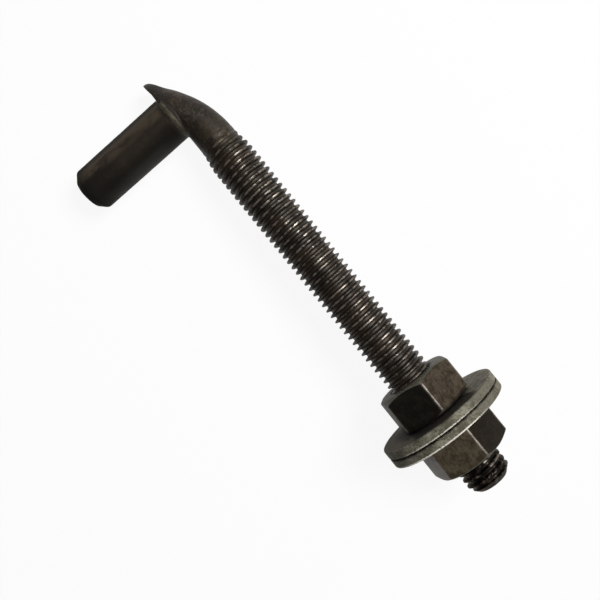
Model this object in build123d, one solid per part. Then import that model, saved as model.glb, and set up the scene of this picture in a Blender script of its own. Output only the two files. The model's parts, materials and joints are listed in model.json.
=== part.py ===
from build123d import *
import math
import os

# A gate hinge J bolt, 5/8-11 by 6 inches: a forged hook whose short plain arm is the hinge pin
# and whose long arm is threaded, with two hex nuts that clamp a gate post between two washers.
#
# It is drawn in the hook's frame: +X from the pin's axis to the threaded tip, the pin along -Y.
# Then it is laid down as it comes to rest, on the pin, the shoulder's lip and a washer's rim,
# with +Z up and its origin on the floor under the middle of its box. Millimetres throughout.

# Threaded arm, a plain rod at the thread's crest diameter
THREAD_D = 15.6
TIP_CHAMFER = 2.2
THREAD_START = 17.0          # X where the crests have faded into the plain neck
THREAD_FULL = 24.0           # X where the crests reach their full height

# Forged hook
REACH = 152.4                # inner side of the pin to the threaded tip
PIN_D = 15.875
PIN_LENGTH = 39.6            # shoulder to the pin's end
PIN_CHAMFER = 2.6
PIN_END_R = 1.3              # rounding at both edges of the chamfer
NECK_D = 13.3                # plain bar between the thread and the bend
NECK_SINK = 0.15             # start of the run-out inside the neck's surface
CORNER_R = 1.2               # inside corner of the bend
BACK_START = 16.5            # X where the back of the bend leaves the neck
BACK_R = 40.0                # the back's arc, which runs out straight to the beak
BACK_SLOPE = 34.0            # degrees from the shank's axis
BEAK_OVERHANG = 6.6          # nose of the beak past the pin's outer side
BEAK_WIDTH = 15.6            # across the hook
FAN_TURN = 96.0              # degrees, from the neck to just under the beak
FAN_STEPS = 9
FAN_EASE = 1.6               # above 1 the sections crowd towards the nose
BEAK_DROOP = 1.1             # nose below the shoulder
LIP_OVERHANG = 0.5           # shoulder lip past the pin, all round
LIP_THICKNESS = 2.3
LIP_EDGE = 0.6               # bevel round the lip's upper edge
LIP_UNDER = 0.3              # bevel round its lower edge
LIP_STAND = 0.15             # shoulder below the root of the beak
SHOULDER_DROP = 0.35         # shoulder below the neck's underside

# Hex nuts, chamfered on both faces
NUT_ACROSS_FLATS = 25.0
NUT_HEIGHT = 13.3
NUT_CHAMFER_ANGLE = 30.0
NUT_FACE_D = 23.6            # flat circle that the chamfer leaves
NUT_COUNTERSINK_D = 17.0
THREAD_CLEARANCE = 0.08      # radial, nut on shank
INNER_NUT_TURN = 13.2        # degrees that a corner is turned from the top, about the shank
OUTER_NUT_TURN = 21.8

# Flat washers
WASHER_D = 43.8
WASHER_BORE_D = 17.5
WASHER_THICKNESS = 3.0
WASHER_EDGE = 0.4            # bevel that stands for the worn round of the rim
WASHER_GAP = 0.1
CLAMP_X = 133.95             # plane where the two washers meet

pin_r = PIN_D / 2
tip_x = pin_r + REACH
neck_r = NECK_D / 2
thread_r = THREAD_D / 2
nose_x = -pin_r - BEAK_OVERHANG
shoulder_y = -neck_r - SHOULDER_DROP


def turned(profile, axis):
    """Solid of revolution from a closed profile drawn beside its axis."""
    return revolve(make_face(profile), axis=axis)


def shank():
    """The threaded arm: thread run-out, full thread and chamfered tip."""
    profile = Polyline(
        (THREAD_START, 0),
        (THREAD_START, neck_r - NECK_SINK),
        (THREAD_FULL, thread_r),
        (tip_x - TIP_CHAMFER, thread_r),
        (tip_x, thread_r - TIP_CHAMFER),
        (tip_x, 0),
        close=True,
    )
    return turned(profile, Axis.X)


def back_height(x):
    """Height of the hook's back above the shank's axis: an arc that runs out straight."""
    slope = math.radians(BACK_SLOPE)
    run = min(max(BACK_START - x, 0), BACK_R * math.sin(slope))
    arc_drop = BACK_R - math.sqrt(BACK_R**2 - run**2)
    return neck_r - arc_drop - max(BACK_START - x - run, 0) * math.tan(slope)


def bend_reach(corner, outward):
    """Distance from the centre of the inside corner to the back or nose, along outward."""
    low, high = 0.0, 4 * NECK_D
    while high - low > 0.001:
        middle = (low + high) / 2
        point = corner + outward * middle
        if point.X > nose_x and point.Y < back_height(point.X):
            low = middle
        else:
            high = middle
    return low


def bend():
    """The plain neck and the bar turning to the beak, a fan of oval sections about the corner."""
    corner = Vector(pin_r + CORNER_R, -neck_r - CORNER_R, 0)
    sections = []
    for x in (THREAD_START + 2, BACK_START, (BACK_START + corner.X) / 2):
        depth = neck_r + back_height(x)
        plane = Plane(origin=(x, back_height(x) - depth / 2, 0), x_dir=(0, 1, 0), z_dir=(1, 0, 0))
        sections.append(plane * Ellipse(depth / 2, neck_r))
    for step in range(FAN_STEPS + 1):
        part_turned = 1 - (1 - step / FAN_STEPS) ** FAN_EASE
        turn = math.radians(FAN_TURN * part_turned)
        outward = Vector(-math.sin(turn), math.cos(turn), 0)
        reach = bend_reach(corner, outward)
        width = NECK_D + (BEAK_WIDTH - NECK_D) * part_turned**1.5
        centre = corner + outward * (CORNER_R + reach) / 2
        plane = Plane(origin=centre, x_dir=outward, z_dir=outward.cross(Vector(0, 0, 1)))
        sections.append(plane * Ellipse((reach - CORNER_R) / 2, width / 2))
    return loft(sections)


def under_beak():
    """The space below the shoulder, where the die trims the beak to a slight droop."""
    root_x = -pin_r - LIP_OVERHANG
    root_y = shoulder_y + LIP_STAND
    slope = BEAK_DROOP / (BEAK_OVERHANG - LIP_OVERHANG)
    far = 3 * PIN_D
    profile = Polyline(
        (far, root_y),
        (root_x, root_y),
        (-far, root_y - slope * (far + root_x)),
        (-far, -far),
        (far, -far),
        close=True,
    )
    return extrude(make_face(profile), BEAK_WIDTH, both=True)


def pin():
    """The hinge pin with the shoulder's lip at its top, turned about the pin's axis."""
    lip_r = pin_r + LIP_OVERHANG
    lip_top = shoulder_y + LIP_THICKNESS
    end_y = shoulder_y - PIN_LENGTH
    lip = Polyline(
        (0, lip_top),
        (lip_r - LIP_EDGE, lip_top),
        (lip_r, lip_top - LIP_EDGE),
        (lip_r, shoulder_y + LIP_UNDER),
        (lip_r - LIP_UNDER, shoulder_y),
        (pin_r, shoulder_y),
    )
    side = FilletPolyline(
        (pin_r, shoulder_y),
        (pin_r, end_y + PIN_CHAMFER),
        (pin_r - PIN_CHAMFER, end_y),
        (0, end_y),
        radius=PIN_END_R,
    )
    return turned(lip + side + Line((0, end_y), (0, lip_top)), Axis.Y)


def j_bolt():
    """The forged hook as one piece."""
    return shank() + (bend() - under_beak()) + pin()


def nut(face_x, turn):
    """A hex nut, face_x its face nearer the bend, with one corner turned from +Z towards +Y."""
    corner_r = NUT_ACROSS_FLATS / 2 / math.cos(math.pi / 6)
    face_r = NUT_FACE_D / 2
    bore_r = thread_r + THREAD_CLEARANCE
    chamfer = (corner_r - face_r) * math.tan(math.radians(NUT_CHAMFER_ANGLE))
    sink_r = NUT_COUNTERSINK_D / 2
    sink = sink_r - bore_r
    half_section = Polyline(
        (0, sink_r),
        (0, face_r),
        (chamfer, corner_r),
        (NUT_HEIGHT - chamfer, corner_r),
        (NUT_HEIGHT, face_r),
        (NUT_HEIGHT, sink_r),
        (NUT_HEIGHT - sink, bore_r),
        (sink, bore_r),
        close=True,
    )
    hexagon = extrude(Plane.YZ * RegularPolygon(corner_r, 6, rotation=90 - turn), NUT_HEIGHT)
    return Pos(face_x, 0, 0) * (hexagon & turned(half_section, Axis.X))


def washer(face_x):
    """A punched flat washer with a worn outer edge; face_x is its face nearer the bend."""
    outer_r, bore_r = WASHER_D / 2, WASHER_BORE_D / 2
    half_section = Polyline(
        (0, bore_r),
        (0, outer_r - WASHER_EDGE),
        (WASHER_EDGE, outer_r),
        (WASHER_THICKNESS - WASHER_EDGE, outer_r),
        (WASHER_THICKNESS, outer_r - WASHER_EDGE),
        (WASHER_THICKNESS, bore_r),
        close=True,
    )
    return Pos(face_x, 0, 0) * turned(half_section, Axis.X)


def lowest_on_rim(centre, axis, radius, down):
    """The point of a round rim that lies furthest along down."""
    return centre + (down - axis * down.dot(axis)).normalized() * radius


def floor_plane():
    """The floor that the bolt rests on, seen from the hook's frame: X under the shank, Z up."""
    along_x, along_y = Vector(1, 0, 0), Vector(0, 1, 0)
    pin_end_y = shoulder_y - PIN_LENGTH + PIN_CHAMFER + PIN_END_R * math.tan(math.pi / 8)
    rims = [
        (Vector(inner_x + WASHER_EDGE, 0, 0), along_x, WASHER_D / 2),
        (Vector(0, shoulder_y + LIP_UNDER, 0), along_y, pin_r + LIP_OVERHANG),
        (Vector(0, pin_end_y, 0), along_y, pin_r),
    ]
    down = Vector(0, 0, -1)
    for _ in range(10):
        washer_foot, lip_foot, pin_foot = (lowest_on_rim(*rim, down) for rim in rims)
        down = (washer_foot - lip_foot).cross(pin_foot - lip_foot).normalized()
    return Plane(origin=lip_foot, x_dir=along_x - down * down.X, z_dir=down * -1)


def laid_down(shapes):
    """The pieces moved from the hook's frame to the floor, centred over the origin."""
    floor = floor_plane()
    lying = {name: floor.to_local_coords(shape) for name, shape in shapes.items()}
    box = Compound(list(lying.values())).bounding_box()
    centring = Pos(-box.center().X, -box.center().Y, -box.min.Z)
    return {name: centring * shape for name, shape in lying.items()}


inner_x = CLAMP_X - WASHER_GAP / 2 - WASHER_THICKNESS
outer_x = CLAMP_X + WASHER_GAP / 2
pieces = {
    "j_bolt": j_bolt(),
    "inner_nut": nut(inner_x - NUT_HEIGHT, INNER_NUT_TURN),
    "inner_washer": washer(inner_x),
    "outer_washer": washer(outer_x),
    "outer_nut": nut(outer_x + WASHER_THICKNESS, OUTER_NUT_TURN),
}

os.makedirs("parts", exist_ok=True)
for name, piece in laid_down(pieces).items():
    export_step(piece, f"parts/{name}.step")
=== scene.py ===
import json
import math

import bmesh
import bpy
from mathutils import Euler, Matrix, Vector
from mathutils.geometry import intersect_line_line


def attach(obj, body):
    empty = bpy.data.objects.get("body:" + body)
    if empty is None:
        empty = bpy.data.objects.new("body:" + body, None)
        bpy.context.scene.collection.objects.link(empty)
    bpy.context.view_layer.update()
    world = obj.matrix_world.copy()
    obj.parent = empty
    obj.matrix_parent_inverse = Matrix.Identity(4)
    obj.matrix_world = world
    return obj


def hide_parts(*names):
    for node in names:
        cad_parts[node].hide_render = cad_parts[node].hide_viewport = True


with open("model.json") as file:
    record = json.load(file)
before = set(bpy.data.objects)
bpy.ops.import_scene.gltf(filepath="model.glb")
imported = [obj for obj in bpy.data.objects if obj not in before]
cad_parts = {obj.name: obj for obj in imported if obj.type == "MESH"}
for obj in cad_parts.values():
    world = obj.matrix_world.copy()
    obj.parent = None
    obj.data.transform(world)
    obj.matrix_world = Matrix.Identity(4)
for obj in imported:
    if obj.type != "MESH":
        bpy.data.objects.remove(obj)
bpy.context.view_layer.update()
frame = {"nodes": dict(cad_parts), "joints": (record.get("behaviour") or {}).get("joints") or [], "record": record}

# Threaded shank. The long arm of the hook: round bar with a rolled 5/8-11 right-hand thread, which
# runs out on the plain neck and ends in a chamfered tip. Black scale fills the roots, and the crests
# are rubbed to patches of bare steel, kept to the upper side where the lamp's highlight falls, so
# that they are partly a painted highlight, with a painted highlight line along the top. The −Y side
# is painted darker as shade, and the end past the nuts is oily.

PITCH = 25.4 / 11            # millimetres, as is every length up to the floor
CREST_PLACE = 33.66          # a crest on the +Y side
CREST_RADIUS = 7.8
ROOT_RADIUS = 6.4
NECK_RADIUS = 6.65
NECK_END = 15.0              # the shank comes out of the neck's skin here
RUN_OUT_END = 24.0
SUNK_LENGTH = 1.2
SUNK_DEPTH = 0.6
TIP_RADIUS = 5.6
TIP_HOLLOW = 0.25            # the sheared end face dips in the middle
SHANK_COLUMNS = 56

joints = {joint["name"]: joint for joint in frame["joints"]}
mounts = {mount["name"]: mount for mount in frame["record"]["mounts"]}
shank_way = Vector(joints["inner_nut_turn"]["axis"]).normalized()
shank_point = Vector(joints["inner_nut_turn"]["pos_m"])
pin_way = -Vector(mounts["pintle"]["axis"]).normalized()
pin_point = Vector(mounts["pintle"]["pos_m"])
bend_centre = intersect_line_line(
    shank_point, shank_point + shank_way, pin_point, pin_point + pin_way
)[0]
hook_turn = Matrix((shank_way, pin_way, shank_way.cross(pin_way))).transposed()
hook = Matrix.LocRotScale(bend_centre, hook_turn, Vector((0.001, 0.001, 0.001)))


class Wire:
    """A node's output that takes part in Python's arithmetic: each operator adds a Math node."""

    def __init__(self, tree, socket=None):
        self.tree = tree
        self.socket = socket

    def node(self, kind, settings=None, values=None, output=0):
        """Adds a node, sets or links its inputs, and returns the wire from one of its outputs."""
        made = self.tree.nodes.new(kind)
        for name, setting in (settings or {}).items():
            setattr(made, name, setting)
        for name, value in (values or {}).items():
            if isinstance(value, Wire):
                self.tree.links.new(value.socket, made.inputs[name])
            elif made.inputs[name].type == "RGBA":
                made.inputs[name].default_value = (*value, 1.0)
            else:
                made.inputs[name].default_value = value
        return Wire(self.tree, made.outputs[output])

    def math(self, operation, *others):
        values = dict(enumerate((self, *others)))
        return self.node("ShaderNodeMath", {"operation": operation}, values)

    def __add__(self, other):
        return self.math("ADD", other)

    def __radd__(self, other):
        return self.math("ADD", other)

    def __sub__(self, other):
        return self.math("SUBTRACT", other)

    def __rsub__(self, other):
        return self.math("MULTIPLY_ADD", -1.0, other)

    def __mul__(self, other):
        return self.math("MULTIPLY", other)

    def __rmul__(self, other):
        return self.math("MULTIPLY", other)

    def __truediv__(self, other):
        return self.math("DIVIDE", other)

    def __rtruediv__(self, other):
        return self.math("POWER", -1.0) * other

    def __abs__(self):
        return self.math("ABSOLUTE")

    def at_least(self, other):
        return self.math("MAXIMUM", other)

    def at_most(self, other):
        return self.math("MINIMUM", other)

    def eased(self, low, high, start=0.0, end=1.0):
        """Goes softly from start to end as the wire goes from low to high."""
        values = {"Value": self, "From Min": low, "From Max": high, "To Min": start, "To Max": end}
        return self.node("ShaderNodeMapRange", {"interpolation_type": "SMOOTHSTEP"}, values)

    def between(self, low, high, soft):
        """1 from low to high, with an edge of width soft at both ends."""
        return self.eased(low - soft, low) * self.eased(high, high + soft, 1.0, 0.0)

    def mix(self, first, second):
        """The first colour where the wire is 0, and the second where it is 1."""
        values = {0: self, 6: first, 7: second}
        return self.node("ShaderNodeMix", {"data_type": "RGBA"}, values, output=2)

    def parts(self):
        """The three coordinates of a vector."""
        split = "ShaderNodeSeparateXYZ"
        return [self.node(split, None, {0: self}, output=axis) for axis in range(3)]

    def stretched(self, x, y, z):
        return self.node("ShaderNodeVectorMath", {"operation": "MULTIPLY"}, {0: self, 1: (x, y, z)})


def length(first, second):
    """Length of the arrow that goes first one way and second at right angles to it."""
    return (first * first + second * second).math("SQRT")


def noise(place, scale, detail=4.0, roughness=0.6, distortion=0.0):
    """Clouds from 0 to 1 round about 0.5; scale is how many there are to the millimetre."""
    values = {
        "Vector": place,
        "Scale": scale,
        "Detail": detail,
        "Roughness": roughness,
        "Distortion": distortion,
    }
    return place.node("ShaderNodeTexNoise", {"noise_dimensions": "3D"}, values)


def new_material(name):
    """An empty node material, its shader, and the place on the hook in millimetres."""
    material = bpy.data.materials.new(name)
    material.use_nodes = True
    shader = material.node_tree.nodes["Principled BSDF"]
    shader.inputs["Specular IOR Level"].default_value = 0.3
    shader.inputs["Specular Tint"].default_value = (1.0, 0.91, 0.80, 1.0)
    place = Wire(material.node_tree).node("ShaderNodeTexCoord", output=3)
    values = {
        "Vector": place,
        "Location": hook.to_translation(),
        "Rotation": hook_turn.to_euler(),
        "Scale": hook.to_scale(),
    }
    return material, shader, place.node("ShaderNodeMapping", {"vector_type": "TEXTURE"}, values)


def finish_material(shader, colour, roughness, metallic, height, depth):
    """Feeds the shader; depth in millimetres is what a height of 1 stands for."""
    normal = height.node("ShaderNodeBump", None, {"Height": height, "Distance": depth / 1000})
    feeds = {"Base Color": colour, "Roughness": roughness, "Metallic": metallic, "Normal": normal}
    for name, value in feeds.items():
        if isinstance(value, Wire):
            height.tree.links.new(value.socket, shader.inputs[name])
        else:
            shader.inputs[name].default_value = value


def black_scale(place):
    """Colour and relief of hot-worked steel: near black, brown where its scale is thin, pitted."""
    clouds = noise(place, 0.13, 5.0, 0.6, 0.4)
    specks = noise(place, 1.6, 4.0, 0.7)
    dark = clouds.eased(0.36, 0.66).mix((0.0085, 0.0072, 0.0058), (0.024, 0.0165, 0.0108))
    colour = (specks.eased(0.54, 0.76) * 0.7).mix(dark, (0.055, 0.043, 0.031))
    return colour, clouds * 2.0 + specks


def thread_steel():
    material, shader, place = new_material("thread_steel")
    x, y, z = place.parts()
    radius = length(y, z)
    colour, height = black_scale(place)
    patches = noise(place, 0.2, 5.0, 0.65, 0.6)
    dashes = noise(place, 0.45, 3.0, 0.6, 0.5)
    flank = radius.eased(6.7, 7.5) * patches.eased(0.44, 0.56)
    # Reddish brown towards −Y and olive towards +Y, and darker towards −Y: partly a rusty tint, partly painted
    # shade on the side away from the lamp.
    rust_and_shade = y.eased(-4.0, 5.0).mix((0.034, 0.020, 0.013), (0.044, 0.038, 0.026))
    colour = (flank * 0.8).mix(colour, rust_and_shade)
    below_crest = x.eased(NECK_END, RUN_OUT_END, NECK_RADIUS + 0.02, CREST_RADIUS - 0.5)
    on_crest = (radius - below_crest).eased(-0.2, 0.3)
    worn = on_crest * patches.eased(0.38, 0.54) * dashes.eased(0.43, 0.55)
    # Bare crests are kept to the upper side, where the lamp's highlight falls: partly wear, partly painted
    # highlight.
    upward = (z * 0.92 + y * 0.39) / radius
    wear_and_highlight_side = upward.eased(0.5, 0.94, 0.25, 1.0)
    near_nut = x.eased(inner_nut_start - 10.6, inner_nut_start - 2.6, 1.0, 0.35)
    beyond_nut = x.eased(outer_nut_end - 1.3, outer_nut_end + 0.7)
    worn = worn * wear_and_highlight_side * (near_nut + beyond_nut * 0.5)
    # Oily black past the outer nut.
    darkened = beyond_nut * dashes.eased(0.6, 0.5) * (1.0 - worn * 0.9)
    bare = x.eased(18.0, 32.0).mix((0.19, 0.165, 0.115), (0.27, 0.23, 0.195))
    # A painted highlight line along the top of the middle of the thread.
    painted_highlight_line = x.between(30.0, 66.0, 10.0) * upward.eased(0.93, 0.99)
    bare = painted_highlight_line.mix(bare, (0.49, 0.435, 0.37))
    colour = (worn * 0.9).mix(colour, bare)
    colour = (darkened * 0.9).mix(colour, (0.006, 0.005, 0.0045))
    metallic = (worn * 0.65).at_least(darkened * 0.85)
    finish_material(shader, colour, 0.46 - worn * 0.06 + darkened * 0.1, metallic, height, 0.05)
    return material


def new_tree(name, sizes):
    """A geometry node tree with a named input for each size, and the wires from its inputs."""
    kinds = {int: "NodeSocketInt", float: "NodeSocketFloat"}
    tree = bpy.data.node_groups.new(name, "GeometryNodeTree")
    tree.interface.new_socket("Geometry", in_out="INPUT", socket_type="NodeSocketGeometry")
    tree.interface.new_socket("Material", in_out="INPUT", socket_type="NodeSocketMaterial")
    for label, value in sizes.items():
        tree.interface.new_socket(label, in_out="INPUT", socket_type=kinds[type(value)])
    tree.interface.new_socket("Geometry", in_out="OUTPUT", socket_type="NodeSocketGeometry")
    inputs = tree.nodes.new("NodeGroupInput")
    return tree, {socket.name: Wire(tree, socket) for socket in inputs.outputs if socket.name}


def finish_tree(tree, geometry, material):
    real = geometry.node("GeometryNodeRealizeInstances", None, {"Geometry": geometry})
    made = real.node("GeometryNodeSetMaterial", None, {"Geometry": real, "Material": material})
    tree.links.new(made.socket, tree.nodes.new("NodeGroupOutput").inputs[0])
    return tree


def thread_tree(sizes):
    """Winds a screw thread about the X axis and welds it to the geometry that closes its ends.

    One grid is wound: its long side goes round the axis and its short side goes once over the
    profile, and each turn is merged with the next. What lies past an end is drawn back to it.
    """
    tree, size = new_tree("Screw thread", sizes)
    wires = size["Geometry"]
    turns = ((size["End"] - size["Start"]) / size["Pitch"] + 3.0).math("CEIL")
    grid = wires.node(
        "GeometryNodeMeshGrid",
        None,
        {
            "Size X": turns * (2 * math.pi),
            "Size Y": 1.0,
            "Vertices X": turns * size["Columns"] + 1.0,
            "Vertices Y": size["Rows"] + 1.0,
        },
    )
    grid_x, grid_y, _ = wires.node("GeometryNodeInputPosition").parts()
    angle = grid_x + turns * math.pi + size["First Angle"]
    across = grid_y + 0.5

    # The grid begins with the crest that lies at least one pitch before the start.
    crests_before = ((size["Crest Place"] - size["Start"]) / size["Pitch"]).math("CEIL") + 1.0
    first = size["Crest Place"] - (crests_before + 0.5) * size["Pitch"]
    along = first + size["Pitch"] * (angle / (2 * math.pi) + across)
    x = along.at_least(size["Start"]).at_most(size["End"])
    y_way = angle.math("COSINE")
    z_way = angle.math("SINE")

    crest = {"X": x, "Y": y_way * size["Crest Radius"], "Z": z_way * size["Crest Radius"]}
    on_crest = wires.node("ShaderNodeCombineXYZ", None, crest)
    rubbed = noise(on_crest, 0.35, 3.0).eased(0.35, 0.7) * size["Wear"]
    from_crest = abs(across - 0.5) * 2.0
    tooth = from_crest.eased(size["Crest Share"], size["Root Share"], 1.0, 0.0)
    thread = size["Root Radius"] + tooth * (size["Crest Radius"] - rubbed - size["Root Radius"])
    full = x.eased(size["Run Out Start"], size["Run Out End"])
    radius = size["Neck Radius"] + full * (thread - size["Neck Radius"])
    radius = radius.at_most(size["Start Radius"] + (x - size["Start"]) * size["Start Slope"])
    radius = radius.at_most(size["End Radius"] + size["End"] - x)
    from_face = (x - size["Start"]).at_most(size["End"] - x)
    radius = radius.at_least(size["Countersink Radius"] - from_face)
    place = {"X": x, "Y": y_way * radius, "Z": z_way * radius}
    helix = wires.node("ShaderNodeCombineXYZ", None, place)
    wound = wires.node("GeometryNodeSetPosition", None, {"Geometry": grid, "Position": helix})

    joined = tree.nodes.new("GeometryNodeJoinGeometry")
    for piece in (wound, size["Geometry"]):
        tree.links.new(piece.socket, joined.inputs[0])
    values = {"Geometry": Wire(tree, joined.outputs[0]), "Distance": 0.002}
    welded = wires.node("GeometryNodeMergeByDistance", None, values)
    return finish_tree(tree, welded, size["Material"])


def set_round(work, profile_at, columns, first_angle=0.0, closed=False):
    """Sets a profile of (x, radius) points round the X axis, the angle counted from +Y to +Z."""
    rows = []
    for column in range(columns):
        angle = first_angle + 2 * math.pi * column / columns
        way = Vector((0, math.cos(angle), math.sin(angle)))
        points = [Vector((x, 0, 0)) + way * radius for x, radius in profile_at(angle)]
        rows.append([work.verts.new(point) for point in points])
    spans = len(rows[0]) if closed else len(rows[0]) - 1
    for near, far in zip(rows, rows[1:] + rows[:1]):
        for low in range(spans):
            high = (low + 1) % len(near)
            work.faces.new((near[low], near[high], far[high], far[low]))


def new_object(name, data):
    made = bpy.data.objects.new(name, data)
    bpy.context.scene.collection.objects.link(made)
    return made


def source_object(name, work):
    """An object in the hook's own frame to grow a piece from."""
    mesh = bpy.data.meshes.new(name)
    work.to_mesh(mesh)
    work.free()
    return new_object(name + "_source", mesh)


def set_tree(source, tree, material, sizes):
    modifier = source.modifiers.new(tree.name, "NODES")
    modifier.node_group = tree
    for item in tree.interface.items_tree:
        if item.in_out == "INPUT" and item.name in sizes:
            modifier[item.identifier] = sizes[item.name]
        elif item.in_out == "INPUT" and item.name == "Material":
            modifier[item.identifier] = material


def finished(name, source, sharp_from):
    """The source with its modifiers applied, as a plain piece in the row's frame.

    Edges that turn by more than sharp_from degrees stay sharp.
    """
    evaluated = source.evaluated_get(bpy.context.evaluated_depsgraph_get())
    mesh = bpy.data.meshes.new_from_object(evaluated)
    bpy.data.objects.remove(source)
    mesh.name = name
    while mesh.materials[0] is None:
        mesh.materials.pop(index=0)
    mesh.transform(hook)
    work = bmesh.new()
    work.from_mesh(mesh)
    bmesh.ops.remove_doubles(work, verts=work.verts, dist=1e-6)
    bmesh.ops.recalc_face_normals(work, faces=work.faces)
    for face in work.faces:
        face.smooth = True
    work.to_mesh(mesh)
    work.free()
    mesh.set_sharp_from_angle(angle=math.radians(sharp_from))
    return new_object(name, mesh)


def measured(node):
    """A node's start and end along the shank, and its point farthest from the shank's axis."""
    back = hook.inverted()
    points = [back @ vertex.co for vertex in frame["nodes"][node].data.vertices]
    farthest = max(points, key=lambda p: p.yz.length)
    return min(p.x for p in points), max(p.x for p in points), farthest


tip_x = measured("j_bolt")[1]
inner_nut_start = measured("inner_nut")[0]
outer_nut_end = measured("outer_nut")[1]
shank_sizes = {
    "Columns": SHANK_COLUMNS,
    "Rows": 12,
    "Pitch": PITCH,
    "Crest Place": CREST_PLACE,
    "First Angle": 0.0,
    "Crest Radius": CREST_RADIUS,
    "Root Radius": ROOT_RADIUS,
    "Crest Share": 0.16,
    "Root Share": 0.72,
    "Wear": 0.12,
    "Start": NECK_END - SUNK_LENGTH,
    "End": tip_x,
    "Neck Radius": NECK_RADIUS,
    "Run Out Start": NECK_END,
    "Run Out End": RUN_OUT_END,
    "Start Radius": NECK_RADIUS - SUNK_DEPTH,
    "Start Slope": SUNK_DEPTH / SUNK_LENGTH,
    "End Radius": TIP_RADIUS,
    "Countersink Radius": 0.0,
}
screw_thread = thread_tree(shank_sizes)


def threaded_shank():
    start_x, start_radius = shank_sizes["Start"], shank_sizes["Start Radius"]
    work = bmesh.new()
    set_round(work, lambda angle: [(start_x, start_radius), (start_x, 0)], SHANK_COLUMNS)
    set_round(work, lambda angle: [(tip_x, TIP_RADIUS), (tip_x - TIP_HOLLOW, 0)], SHANK_COLUMNS)
    source = source_object("shank_ends", work)
    set_tree(source, screw_thread, thread_steel(), shank_sizes)
    return finished("threaded_shank", source, sharp_from=38)


shank = threaded_shank()
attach(shank, "bolt")

# Forged bend and hinge pin. The bar was turned through a right angle and struck in a die, which
# left a flat shoulder with a trimmed lip round the top of the pin and drew the outer side out to a
# blunt beak. The scale is dark and lumpy, and rubbed brown where the gate's eye turned on the pin,
# along a band that is partly a painted highlight. The pin also has painted shade on its +X side, a
# painted shadow under the shoulder and a painted reflection along its +X edge, and painted shade
# darkens the recess above the lip.

SKIN_VOXEL = 0.24
SKIN_DEPTH = 0.16
LIP_LOW, LIP_HIGH = -7.05, -5.4
LIP_SCORE = -6.2                 # a dark line along the lip
RUB_AND_HIGHLIGHT_TURN = math.radians(-22)     # from +Z, about the pin
PIN_END = -46.6


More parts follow.
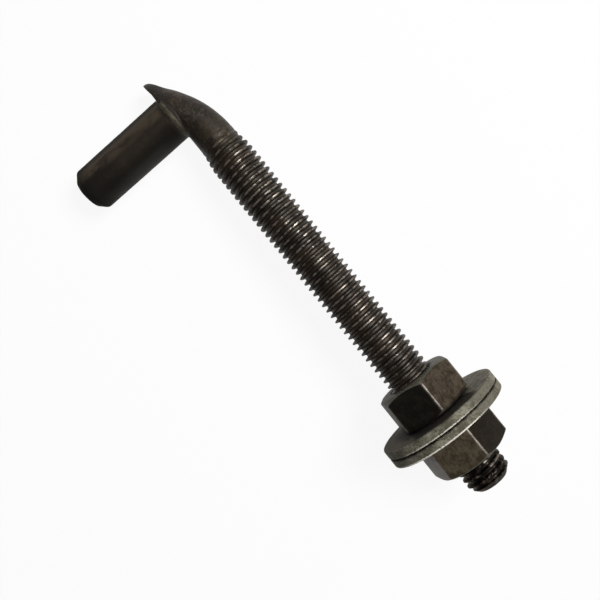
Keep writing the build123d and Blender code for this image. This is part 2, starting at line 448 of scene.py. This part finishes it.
def forged_steel():
    material, shader, place = new_material("forged_steel")
    x, y, z = place.parts()
    from_pin = length(x, z)
    colour, height = black_scale(place)
    clouds = noise(place, 0.3, 5.0, 0.65, 0.5)
    streaks = noise(place.stretched(1.0, 0.35, 1.0), 0.32, 5.0, 0.65, 0.6)

    bend = y.eased(-6.5, -3.0)
    shaded = noise(place, 0.16, 3.0, 0.5, 0.8).eased(0.45, 0.58) * bend
    colour = (shaded * 0.85).mix(colour, (0.0075, 0.006, 0.0048))
    back = y.eased(0.0, 6.0) * clouds.eased(0.4, 0.56)
    colour = (back * 0.75).mix(colour, (0.0205, 0.0205, 0.0165))
    beak = x.eased(-12.5, -7.0, 1.0, 0.0) * bend
    colour = (beak * 0.85).mix(colour, (0.006, 0.005, 0.0038))
    blotches = bend * clouds.eased(0.47, 0.58)
    colour = (blotches * 0.8).mix(colour, (0.036, 0.024, 0.016))
    drawn = noise(place.stretched(1.0, 0.1, 0.15), 1.3, 3.0).eased(0.56, 0.62)
    drawn = drawn * x.between(2.0, 7.0, 2.0) * bend
    colour = (drawn * 0.7).mix(colour, (0.009, 0.007, 0.006))
    flakes = bend * noise(place, 1.1, 4.0, 0.7).eased(0.52, 0.64)
    colour = (flakes * 0.5).mix(colour, (0.066, 0.058, 0.045))
    olive = bend * x.eased(6.0, 11.0) * streaks.eased(0.4, 0.6)
    colour = (olive * 0.6).mix(colour, (0.029, 0.0235, 0.0135))

    toward = (z * math.cos(RUB_AND_HIGHLIGHT_TURN) + x * math.sin(RUB_AND_HIGHLIGHT_TURN)) / from_pin
    on_pin = y.eased(-9.0, -7.0, 1.0, 0.0)
    colour = (on_pin * 0.6).mix(colour, (0.015, 0.0115, 0.0078))
    # Painted shade on the pin's side between +X and +Z.
    darkened = on_pin * ((x * 0.8 + z * 0.6) / from_pin + streaks * 0.4).eased(0.95, 1.2)
    colour = (darkened * 0.8).mix(colour, (0.0045, 0.0038, 0.003))
    # A lighter brown band along one side of the pin: partly rubbed by the gate's eye, partly a painted highlight.
    rubbed = toward.eased(0.91, 0.99) * streaks.eased(0.25, 0.55) * on_pin
    colour = (rubbed * 0.8).mix(colour, (0.066, 0.051, 0.035))
    side = (x + z * 0.25) / from_pin
    # A pale painted reflection along the pin's +X edge, low on the pin.
    painted_rim_reflection = on_pin * side.eased(0.84, 1.0) * y.eased(-16.0, -10.0, 1.0, 0.0)
    colour = (painted_rim_reflection * 0.85).mix(colour, (0.0185, 0.0175, 0.016))
    # Darker low down on the pin's +X half, and a painted shadow under the shoulder on its +X side.
    low_dark_and_shoulder_shadow = y.eased(-37.0, -26.0, 1.0, 0.0) * side.eased(-0.05, 0.12)
    low_dark_and_shoulder_shadow = low_dark_and_shoulder_shadow.at_least(y.eased(-20.0, -9.0) * side.eased(0.4, 0.7) * on_pin)
    colour = (low_dark_and_shoulder_shadow * 0.75).mix(colour, (0.0042, 0.0033, 0.0028))
    burnt = (y + clouds * 6.0).eased(PIN_END + 4.0, PIN_END + 12.0, 1.0, 0.0)
    colour = (burnt * 0.8).mix(colour, (0.005, 0.0045, 0.004))

    around_lip = from_pin.between(8.1, 8.55, 0.15)
    # Painted shade in the recess just above the lip.
    recess_shade = y.between(LIP_HIGH, LIP_HIGH + 1.6, 0.4) * clouds.eased(0.3, 0.55)
    colour = (recess_shade * 0.7).mix(colour, (0.012, 0.008, 0.008))
    lip = y.between(LIP_LOW, LIP_HIGH, 0.15) * around_lip
    struck = x.between(-1.5, 3.8, 3.5) * (0.4 + clouds.eased(0.42, 0.6) * 0.6)
    struck = struck * abs(y + clouds * 0.5 - LIP_SCORE).eased(0.12, 0.4, 0.25, 1.0)
    struck = struck * noise(place, 0.9, 3.0).eased(0.40, 0.58, 0.45, 1.0)
    colour = lip.mix(colour, struck.mix((0.034, 0.030, 0.020), (0.135, 0.124, 0.084)))
    metallic = 0.15 + on_pin * 0.1 + beak * 0.5
    roughness = 0.52 + on_pin * 0.12 + burnt.at_least(beak) * 0.3
    roughness = roughness + on_pin * side.eased(-0.7, -0.4, 0.2, 0.0)
    finish_material(shader, colour, roughness, metallic, height, 0.08)
    return material


def skin_tree(sizes):
    """Pushes a surface in and out a little, in lumps, and not at all near the shank."""
    tree, size = new_tree("Forged skin", sizes)
    position = size["Geometry"].node("GeometryNodeInputPosition")
    normal = position.node("GeometryNodeInputNormal")
    # Less 0.675, their mean, so that the lumps push inwards as much as outwards.
    lumps = noise(position, 0.16, 3.0) + noise(position, 0.55, 2.0) * 0.35 - 0.675
    fade = position.parts()[0].eased(size["Seam Place"] - 5.0, size["Seam Place"], 1.0, 0.0)
    values = {0: normal, "Scale": lumps * fade * size["Depth"]}
    push = normal.node("ShaderNodeVectorMath", {"operation": "SCALE"}, values)
    values = {"Geometry": size["Geometry"], "Offset": push}
    return finish_tree(tree, push.node("GeometryNodeSetPosition", None, values), size["Material"])


def forged_hook():
    work = bmesh.new()
    work.from_mesh(frame["nodes"]["j_bolt"].data)
    bmesh.ops.transform(work, matrix=hook.inverted(), verts=work.verts)
    bmesh.ops.remove_doubles(work, verts=work.verts, dist=0.001)
    cut = bmesh.ops.bisect_plane(
        work,
        geom=work.verts[:] + work.edges[:] + work.faces[:],
        dist=0.0001,
        plane_co=(NECK_END, 0, 0),
        plane_no=(1, 0, 0),
        clear_outer=True,
    )
    rim = [part for part in cut["geom_cut"] if isinstance(part, bmesh.types.BMEdge)]
    bmesh.ops.holes_fill(work, edges=rim, sides=0)
    source = source_object("forging", work)
    remesh = source.modifiers.new("Skin", "REMESH")
    remesh.mode = "VOXEL"
    remesh.voxel_size = SKIN_VOXEL
    smooth = source.modifiers.new("Smooth", "SMOOTH")
    smooth.factor = 0.5
    smooth.iterations = 3
    sizes = {"Depth": SKIN_DEPTH, "Seam Place": NECK_END}
    set_tree(source, skin_tree(sizes), forged_steel(), sizes)
    return finished("forged_hook", source, sharp_from=60)


bend_and_pin = forged_hook()
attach(bend_and_pin, "bolt")
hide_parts("j_bolt")

# Hex nuts. Two finished 5/8-11 nuts, chamfered on both faces and threaded to match the shank. Their
# flats are unevenly blackened, with the washers' shadow painted on one flat of the outer nut and a
# painted reflection on another, grime and painted contact shade lie next to the washers, and the
# corners are worn bright by the spanner.

ACROSS_FLATS = 25.0
CHAMFER_ANGLE = math.radians(30)
NUT_FACE_RADIUS = 11.8
NUT_GROOVE_RADIUS = 7.9          # bottom of the nut's groove, clear of the shank's crests
NUT_RIDGE_RADIUS = 6.75          # top of its ridge, clear of the shank's roots
COUNTERSINK_RADIUS = 8.5
NUT_COLUMNS = 72
EDGE_ROUND = 0.25
EDGE_ANGLE = math.radians(20)    # an edge that turns by more is rounded


def flat_radius(from_flat):
    """Distance of a nut's flat from its axis, at this angle from the middle of the flat."""
    return ACROSS_FLATS / 2 / math.cos(from_flat)


def nut_steel(name, corner, flats, washer_x):
    """Blackened steel; flats holds the angle of a flat's middle from +Z and its two colours."""
    material, shader, place = new_material(name)
    x, y, z = place.parts()
    radius = length(y, z)
    shader.inputs["Specular IOR Level"].default_value = 0.12
    clouds = noise(place, 0.28, 5.0, 0.65, 0.4)
    specks = noise(place.stretched(0.6, 1.0, 1.0), 1.3, 4.0, 0.75)
    mottle = clouds * 0.55 + specks * 0.45

    turned = (y.math("ARCTAN2", z) - corner) / (math.pi / 3)
    from_flat = (turned.math("FRACT") - 0.5) * (math.pi / 3)
    on_flat = radius * from_flat.math("COSINE") - ACROSS_FLATS / 2
    on_flat = on_flat.eased(-0.3, -0.08)
    face = mottle.eased(0.35, 0.65).mix((0.062, 0.059, 0.044), (0.125, 0.120, 0.094))
    flat_colour = mottle.eased(0.40, 0.60).mix((0.022, 0.016, 0.010), (0.066, 0.051, 0.035))
    for middle, dark, light in flats:
        # A flat ends 30 degrees from its middle, where toward is 0.866.
        toward = (y * math.sin(middle) + z * math.cos(middle)) / radius
        tone = mottle.eased(0.40, 0.60).mix(dark, light)
        flat_colour = toward.eased(0.855, 0.875).mix(flat_colour, tone)
    colour = on_flat.mix(face, flat_colour)

    bore = radius.eased(COUNTERSINK_RADIUS + 0.1, COUNTERSINK_RADIUS + 0.7, 1.0, 0.0)
    colour = bore.mix(colour, (0.012, 0.009, 0.007))
    # Darker next to the washer: grime, and painted contact shade.
    grime_and_contact_shade = abs(x - washer_x) + clouds * 3.0
    colour = (grime_and_contact_shade.eased(1.4, 3.6, 1.0, 0.0) * 0.8).mix(colour, (0.010, 0.008, 0.008))
    near_corner = (abs(from_flat) + specks * 0.02).eased(0.493, 0.525)
    worn = near_corner * radius.eased(13.4, 14.0)
    colour = (worn * clouds.eased(0.36, 0.56, 0.35, 0.8)).mix(colour, (0.25, 0.222, 0.195))
    finish_material(shader, colour, 0.48, 0.1 + worn * 0.6, mottle, 0.1)
    return material


def hex_nut(name, node, flats, washer_side):
    """The flats, faces and chamfers set round the axis, closed by an internal screw thread."""
    start_x, end_x, corner_point = measured(node)
    sixth = math.pi / 3
    corner = math.atan2(corner_point.y, corner_point.z) % sixth - sixth
    corner_angle = math.pi / 2 - corner

    def profile(angle):
        flat = flat_radius((angle - corner_angle) % sixth - sixth / 2)
        chamfer = (flat - NUT_FACE_RADIUS) * math.tan(CHAMFER_ANGLE)
        half = [(0, COUNTERSINK_RADIUS), (0, NUT_FACE_RADIUS), (chamfer, flat)]
        return [(start_x + x, r) for x, r in half] + [(end_x - x, r) for x, r in reversed(half)]

    work = bmesh.new()
    set_round(work, profile, NUT_COLUMNS, corner_angle)
    work.normal_update()
    edges = [edge for edge in work.edges if edge.calc_face_angle(0.0) > EDGE_ANGLE]
    bmesh.ops.bevel(work, geom=edges, offset=EDGE_ROUND, segments=2, profile=0.5, affect="EDGES")
    thread = {
        "Columns": NUT_COLUMNS,
        "First Angle": corner_angle % (2 * math.pi),
        "Crest Radius": NUT_GROOVE_RADIUS,
        "Root Radius": NUT_RIDGE_RADIUS,
        "Crest Share": 0.24,
        "Root Share": 0.82,
        "Wear": 0.0,
        "Start": start_x,
        "End": end_x,
        "Run Out Start": start_x - 2.0,         # outside the nut, so its thread is full
        "Run Out End": start_x - 1.0,
        "Start Radius": 2 * COUNTERSINK_RADIUS,  # too wide to taper an end
        "End Radius": 2 * COUNTERSINK_RADIUS,
        "Countersink Radius": COUNTERSINK_RADIUS,
    }
    washer_x = end_x if washer_side > 0 else start_x
    middles = [(corner + sixth * steps, dark, light) for steps, dark, light in flats]
    finish = nut_steel(name + "_steel", corner, middles, washer_x)
    source = source_object(name, work)
    set_tree(source, screw_thread, finish, shank_sizes | thread)
    piece = finished(name, source, sharp_from=34)
    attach(piece, node)
    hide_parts(node)


black_flat = ((0.0065, 0.0056, 0.0045), (0.013, 0.011, 0.0085))
# Dark reddish brown, with the washers' shadow painted on it.
brown_and_shadow_flat = ((0.005, 0.0032, 0.0012), (0.013, 0.0088, 0.0042))
olive_flat = ((0.034, 0.027, 0.017), (0.080, 0.064, 0.042))
dull_flat = ((0.020, 0.018, 0.015), (0.046, 0.042, 0.036))
# Pale grey: a painted reflection.
painted_reflection_flat = ((0.10, 0.090, 0.080), (0.18, 0.165, 0.152))

# Each number counts flats round from the nut's first corner to the middle of the one painted.
inner_flats = [(0.5, *black_flat), (-0.5, *dull_flat)]
outer_flats = [(0.5, *olive_flat), (1.5, *brown_and_shadow_flat), (-0.5, *painted_reflection_flat)]
hex_nut("inner_hex_nut", "inner_nut", inner_flats, 1)
hex_nut("outer_hex_nut", "outer_nut", outer_flats, -1)

# Flat washers. Two punched 1 3/4 in washers back to back, a little dished, so that the gap between
# them opens on one side. The plating is dull olive grey, browner and darker towards −Y with rust and
# painted shade, bright where the rims are worn and with painted highlights on their upper edges,
# painted lighter and darker across the rims, dark round the nut with grease and the nut's painted
# shadow, and painted shade lies in the gap.

WASHER_BORE = 17.5
RIM_WEAR = 0.012
RIM_ROUND = 0.38
BORE_ROUND = 0.25
ROUND_STEPS = 4
DISH = 0.16
WASHER_COLUMNS = 120
# Bare worn steel, also used for painted highlights.
BARE_EDGE_AND_HIGHLIGHT = (0.82, 0.785, 0.695)


def washer_steel(name, start_x, end_x, rim_radius, nut_x, gap_x):
    material, shader, place = new_material(name)
    x, y, z = place.parts()
    radius = length(y, z)
    shader.inputs["Specular IOR Level"].default_value = 0.2
    clouds = noise(place, 0.16, 5.0, 0.6, 0.4)
    specks = noise(place, 1.5, 4.0, 0.75)
    mottle = clouds * 0.5 + specks * 0.5
    plated = mottle.eased(0.40, 0.60).mix((0.072, 0.066, 0.046), (0.25, 0.24, 0.182))
    # Browner and darker towards −Y: partly rust, partly painted shade.
    rust_and_shade_side = (z * 0.4 - y).eased(2.0, 18.0) * clouds.eased(0.3, 0.5)
    colour = (0.12 + rust_and_shade_side * 0.66).mix(plated, (0.060, 0.049, 0.036))
    on_rim = radius.eased(rim_radius - 0.9, rim_radius - 0.35)
    upward = (z * 0.98 - y * 0.17) / radius
    # The rim is painted lighter towards the top: painted light.
    colour = (on_rim * (0.2 + upward.eased(0.6, 0.97) * 0.8)).mix(colour, plated)
    # The rim is darker in a band about 50 degrees round from the top towards +Y.
    rim_darker_band = on_rim * ((y * 0.77 + z * 0.64) / radius).eased(0.9, 0.99) * clouds.eased(0.35, 0.55)
    colour = (rim_darker_band * 0.6).mix(colour, (0.075, 0.068, 0.052))
    # Dark round the nut: partly grease, partly the nut's shadow painted on the face, reaching farther towards the
    # top and held back on the +Y side, where the face is painted as lit.
    from_nut = abs(x - nut_x) + (radius - 14.0).at_least(0.0) * 0.35
    nut_shadow_side = ((z + y * 0.2) / radius).eased(0.69, 0.86)
    lit_side = ((y * 0.95 - z * 0.3) / radius).eased(0.45, 0.75)
    grease_and_nut_shadow = (from_nut + lit_side * 1.4 - nut_shadow_side * 1.8 + clouds * 1.2).eased(0.8, 2.0, 1.0, 0.0)
    colour = (grease_and_nut_shadow * 0.92).mix(colour, (0.010, 0.008, 0.008))
    # Painted shade in the gap between the washers, wider where the gap opens towards −Y, in broken patches.
    opened = y.eased(-20.0, 8.0, 0.2, 0.0)
    gap_shade = (abs(x - gap_x) + specks * 0.4 - opened).eased(0.38, 0.8, 1.0, 0.0)
    gap_shade_patches = noise(place, 0.75, 3.0).eased(0.42, 0.54, 0.4, 0.95)
    colour = (gap_shade * gap_shade_patches).mix(colour, (0.008, 0.007, 0.006))
    middle_x = (start_x + end_x) / 2
    # The rim's far edge is bright on the upper side: partly bare worn metal, partly painted highlight.
    edge = (x - middle_x).eased(0.9, 1.2) * on_rim * specks.eased(0.34, 0.48) * (1.0 - gap_shade)
    colour = (edge * upward.eased(0.5, 0.95)).mix(colour, BARE_EDGE_AND_HIGHLIGHT)
    # A painted highlight on the rim beside the gap, on the upper side.
    beside_gap_highlight = abs(x - gap_x + 0.5).eased(0.1, 0.3, 1.0, 0.0) * on_rim * specks.eased(0.38, 0.50)
    colour = (beside_gap_highlight * upward.eased(0.75, 0.97) * 0.7).mix(colour, BARE_EDGE_AND_HIGHLIGHT)
    finish_material(shader, colour, 0.72 - edge * 0.2, 0.1, mottle, 0.08)
    return material


def flat_washer(name, node, nut_side):
    """A rounded section set round the axis; nut_side is -1 where the nut lies towards the bend."""
    start_x, end_x, rim_point = measured(node)
    rim_radius = rim_point.yz.length - RIM_WEAR
    bore_radius = WASHER_BORE / 2
    corners = (
        (start_x + RIM_ROUND, rim_radius - RIM_ROUND, RIM_ROUND, 180),
        (end_x - RIM_ROUND, rim_radius - RIM_ROUND, RIM_ROUND, 90),
        (end_x - BORE_ROUND, bore_radius + BORE_ROUND, BORE_ROUND, 0),
        (start_x + BORE_ROUND, bore_radius + BORE_ROUND, BORE_ROUND, -90),
    )

    def profile(angle):
        opened = DISH * (0.5 - 0.5 * math.cos(angle))
        points = []
        for x, r, round_radius, from_turn in corners:
            for step in range(ROUND_STEPS + 1):
                turn = math.radians(from_turn - 90 * step / ROUND_STEPS)
                out = r + round_radius * math.sin(turn)
                dish = nut_side * opened * ((out - bore_radius) / (rim_radius - bore_radius)) ** 2
                points.append((x + round_radius * math.cos(turn) + dish, out))
        return points

    work = bmesh.new()
    set_round(work, profile, WASHER_COLUMNS, closed=True)
    nut_x, gap_x = (start_x, end_x) if nut_side < 0 else (end_x, start_x)
    source = source_object(name, work)
    finish = washer_steel(name + "_steel", start_x, end_x, rim_radius, nut_x, gap_x)
    source.data.materials.append(finish)
    piece = finished(name, source, sharp_from=34)
    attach(piece, node)
    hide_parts(node)


flat_washer("inner_flat_washer", "inner_washer", -1)
flat_washer("outer_flat_washer", "outer_washer", 1)

# Studio. A white table under one soft lamp on the far side, with pale walls low round it and a dark
# ceiling, which the steel reflects. Past the table's edge the camera sees plain white.

FLOOR_HALF = 6.0                 # metres
FLOOR_SEEN = 0.92                # how much of the table is plain white to the camera
FLOOR_REFLECTED = 0.65           # and in the steel's reflections
WALLS = 0.55
CEILING = 0.04
BACKDROP = 0.95
LAMP_TARGET = (80, -10, 0)       # millimetres in the hook's frame, as are the lamp and the camera
LAMP_PLACE = (130, 540, 690)
LAMP_SIZE = 0.35
LAMP_POWER = 9.0
CAMERA_PLACE = (83.07, 27.60, 245.39)
CAMERA_TURN = (-4.288, 8.403, 50.667)
CAMERA_LENS = 44.6

half = FLOOR_HALF
corners = [(-half, -half, 0), (half, -half, 0), (half, half, 0), (-half, half, 0)]
floor_mesh = bpy.data.meshes.new("floor")
floor_mesh.from_pydata(corners, [], [(0, 1, 2, 3)])
floor = new_object("floor", floor_mesh)
floor_paint, floor_shader, floor_place = new_material("white_table")
floor_tree = floor_paint.node_tree
floor_shader.inputs["Roughness"].default_value = 0.9
dust = noise(floor_place, 0.01).mix((0.84, 0.84, 0.84), (0.88, 0.88, 0.88))
floor_tree.links.new(dust.socket, floor_shader.inputs["Base Color"])
camera_ray = floor_place.node("ShaderNodeLightPath", output=0)
glossy_ray = floor_place.node("ShaderNodeLightPath", output=3)
white = floor_place.node("ShaderNodeEmission", None, {"Strength": 1.0})
lit = Wire(floor_tree, floor_shader.outputs[0])
whiter = (camera_ray * FLOOR_SEEN).at_least(glossy_ray * FLOOR_REFLECTED)
shown = floor_place.node("ShaderNodeMixShader", None, {0: whiter, 1: lit, 2: white})
floor_tree.links.new(shown.socket, floor_tree.nodes["Material Output"].inputs["Surface"])
floor_mesh.materials.append(floor_paint)

world = bpy.data.worlds.new("studio")
world.use_nodes = True
sky = Wire(world.node_tree)
height = sky.node("ShaderNodeTexCoord", output=0).parts()[2]
seen = sky.node("ShaderNodeLightPath", output=0)
walls, ceiling, backdrop = [
    sky.node("ShaderNodeBackground", None, {"Color": (1, 1, 1), "Strength": strength})
    for strength in (WALLS, CEILING, BACKDROP)
]
room = sky.node("ShaderNodeMixShader", None, {0: height.eased(0.05, 0.35), 1: walls, 2: ceiling})
around = sky.node("ShaderNodeMixShader", None, {0: seen, 1: room, 2: backdrop})
world.node_tree.links.new(around.socket, world.node_tree.nodes["World Output"].inputs["Surface"])
bpy.context.scene.world = world

lamp_data = bpy.data.lights.new("lamp", "AREA")
lamp_data.size = LAMP_SIZE
lamp_data.energy = LAMP_POWER
lamp = new_object("lamp", lamp_data)
lamp_place, lamp_target = hook @ Vector(LAMP_PLACE), hook @ Vector(LAMP_TARGET)
lamp_turn = (lamp_place - lamp_target).to_track_quat("Z", "Y")
lamp.matrix_world = Matrix.LocRotScale(lamp_place, lamp_turn, None)

camera_data = bpy.data.cameras.new("camera")
camera_data.lens = CAMERA_LENS
camera_data.sensor_width = 36.0
camera_data.clip_start = 0.01
camera = new_object("camera", camera_data)
camera_turn = hook_turn @ Euler([math.radians(angle) for angle in CAMERA_TURN]).to_matrix()
camera.matrix_world = Matrix.LocRotScale(hook @ Vector(CAMERA_PLACE), camera_turn, None)
bpy.context.scene.camera = camera
bpy.context.scene.view_settings.view_transform = "Standard"
